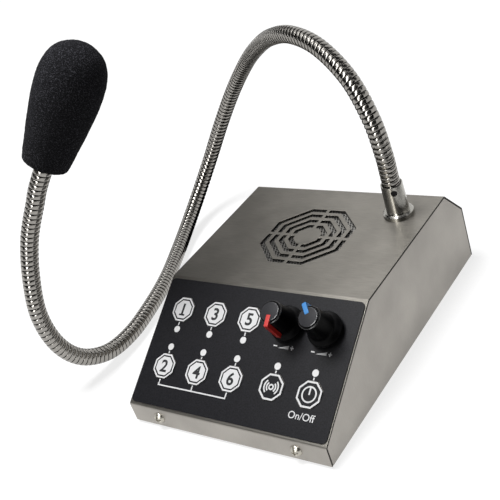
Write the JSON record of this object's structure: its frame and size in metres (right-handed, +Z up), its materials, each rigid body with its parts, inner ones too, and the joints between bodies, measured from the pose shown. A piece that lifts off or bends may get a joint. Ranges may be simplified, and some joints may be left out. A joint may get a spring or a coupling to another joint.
{
  "type": "intercom station",
  "caption": "Counter intercom station: folded steel case with a sloping key panel, volume knobs, a top speaker grille and a bendable gooseneck microphone with a foam windscreen.",
  "frame": {"origin": "on the table, under the middle of the case, at the underside of the non-slip pad", "axes": "+X to the right of the key panel, +Y towards the rear wall, +Z up"},
  "size_m": [0.2233, 0.235, 0.2039],
  "materials": {
    "case_steel": "brushed warm grey steel",
    "pad_rubber": "matt non-slip rubber",
    "zinc_steel": "bright zinc plating",
    "overlay_print": "fine textured charcoal film with white print",
    "window_plastic": "milky diffuser plastic",
    "key_plastic": "textured film with white print",
    "board_laminate": "green solder mask",
    "black_plastic": "moulded black plastic",
    "control_metal": "plated metal",
    "knob_plastic": "moulded black plastic, satin",
    "cap_plastic": "dark grey disc",
    "pointer_red": "red inlay",
    "pointer_blue": "blue inlay",
    "mesh_steel": "perforated steel",
    "speaker_steel": "black paint",
    "cone_paper": "black paper cone",
    "magnet_iron": "ferrite",
    "capacitor_sleeve": "shrink sleeve",
    "collar_chrome": "polished chrome plating",
    "set_screw_steel": "black oxide",
    "hose_chrome": "chrome-plated wound strip",
    "ferrule_metal": "satin black",
    "foam": "open-cell black foam"
  },
  "bodies": {
    "housing": {"base_tray": "case_steel", "top_cover": "case_steel", "base_pad": "pad_rubber", "clinch_nuts": "zinc_steel", "front_screws": "zinc_steel", "rear_screws": "zinc_steel", "board_standoffs": "zinc_steel", "board_screws": "zinc_steel", "volume_nuts": "zinc_steel", "speaker_studs": "zinc_steel", "speaker_nuts": "zinc_steel", "amplifier_standoffs": "zinc_steel", "amplifier_screws": "zinc_steel", "collar_nut": "zinc_steel", "front_overlay": "overlay_print", "indicator_windows": "window_plastic", "indicator_lamps": "window_plastic", "keypad_board": "board_laminate", "amplifier_board": "board_laminate", "key_switches": "black_plastic", "power_inlet": "black_plastic", "line_socket": "black_plastic", "volume_controls": "control_metal", "grille_mesh": "mesh_steel", "speaker_frame": "speaker_steel", "speaker_cone": "cone_paper", "speaker_magnet": "magnet_iron", "capacitors": "capacitor_sleeve", "gooseneck_collar": "collar_chrome", "collar_set_screw": "set_screw_steel", "neck_foot": "hose_chrome", "neck_flex_foot": "hose_chrome"},
    "key_1": {"key_1": "key_plastic"},
    "key_2": {"key_2": "key_plastic"},
    "key_3": {"key_3": "key_plastic"},
    "key_4": {"key_4": "key_plastic"},
    "key_5": {"key_5": "key_plastic"},
    "key_6": {"key_6": "key_plastic"},
    "key_call": {"key_call": "key_plastic"},
    "key_power": {"key_power": "key_plastic"},
    "outside_volume": {"outside_shaft": "control_metal", "outside_knob": "knob_plastic", "outside_cap": "cap_plastic", "outside_pointer": "pointer_red"},
    "inside_volume": {"inside_shaft": "control_metal", "inside_knob": "knob_plastic", "inside_cap": "cap_plastic", "inside_pointer": "pointer_blue"},
    "neck_rise": {"neck_rise": "hose_chrome", "neck_flex_crown": "hose_chrome"},
    "neck_fall": {"neck_fall": "hose_chrome", "neck_run": "hose_chrome", "neck_flex_loop": "hose_chrome"},
    "neck_front": {"neck_front": "hose_chrome", "neck_flex_tip": "hose_chrome"},
    "microphone": {"neck_tip": "hose_chrome", "microphone_ferrule": "ferrule_metal", "microphone_capsule": "ferrule_metal", "windscreen": "foam"}
  },
  "joints": [
    {"name": "key_1_press", "type": "slide", "parent": "housing", "child": "key_1", "axis": [0, 0.515, -0.8572], "range_m": [0, 0.0003], "stiffness_N_per_m": 2000, "springref_m": -0.0001},
    {"name": "key_2_press", "type": "slide", "parent": "housing", "child": "key_2", "axis": [0, 0.515, -0.8572], "range_m": [0, 0.0003], "stiffness_N_per_m": 2000, "springref_m": -0.0001},
    {"name": "key_3_press", "type": "slide", "parent": "housing", "child": "key_3", "axis": [0, 0.515, -0.8572], "range_m": [0, 0.0003], "stiffness_N_per_m": 2000, "springref_m": -0.0001},
    {"name": "key_4_press", "type": "slide", "parent": "housing", "child": "key_4", "axis": [0, 0.515, -0.8572], "range_m": [0, 0.0003], "stiffness_N_per_m": 2000, "springref_m": -0.0001},
    {"name": "key_5_press", "type": "slide", "parent": "housing", "child": "key_5", "axis": [0, 0.515, -0.8572], "range_m": [0, 0.0003], "stiffness_N_per_m": 2000, "springref_m": -0.0001},
    {"name": "key_6_press", "type": "slide", "parent": "housing", "child": "key_6", "axis": [0, 0.515, -0.8572], "range_m": [0, 0.0003], "stiffness_N_per_m": 2000, "springref_m": -0.0001},
    {"name": "key_call_press", "type": "slide", "parent": "housing", "child": "key_call", "axis": [0, 0.515, -0.8572], "range_m": [0, 0.0003], "stiffness_N_per_m": 2000, "springref_m": -0.0001},
    {"name": "key_power_press", "type": "slide", "parent": "housing", "child": "key_power", "axis": [0, 0.515, -0.8572], "range_m": [0, 0.0003], "stiffness_N_per_m": 2000, "springref_m": -0.0001},
    {"name": "outside_volume_turn", "type": "hinge", "parent": "housing", "child": "outside_volume", "pos_m": [0.0242, -0.04011, 0.04398], "axis": [0, -0.515, 0.8572], "range_deg": [-300, 0]},
    {"name": "inside_volume_turn", "type": "hinge", "parent": "housing", "child": "inside_volume", "pos_m": [0.0475, -0.04011, 0.04398], "axis": [0, -0.515, 0.8572], "range_deg": [-200, 100]},
    {"name": "neck_foot_bend", "type": "hinge", "parent": "housing", "child": "neck_rise", "pos_m": [0.0443, 0.0544, 0.1051], "axis": [0.5196, 0.8544, 0], "range_deg": [0, 25], "deforming": ["neck_flex_foot"]},
    {"name": "neck_crown_bend", "type": "hinge", "parent": "neck_rise", "child": "neck_fall", "pos_m": [-0.0141, 0.0825, 0.1531], "axis": [0.4659, 0.8848, 0], "range_deg": [0, 25], "deforming": ["neck_flex_crown"]},
    {"name": "neck_loop_bend", "type": "hinge", "parent": "neck_fall", "child": "neck_front", "pos_m": [-0.1182, -0.0657, 0.0173], "axis": [1, 0, 0], "range_deg": [-15, 20], "deforming": ["neck_flex_loop"]},
    {"name": "microphone_tilt", "type": "hinge", "parent": "neck_front", "child": "microphone", "pos_m": [-0.1142, -0.06, 0.1163], "axis": [-0.6548, 0.7558, 0], "range_deg": [-25, 25], "deforming": ["neck_flex_tip"]}
  ]
}
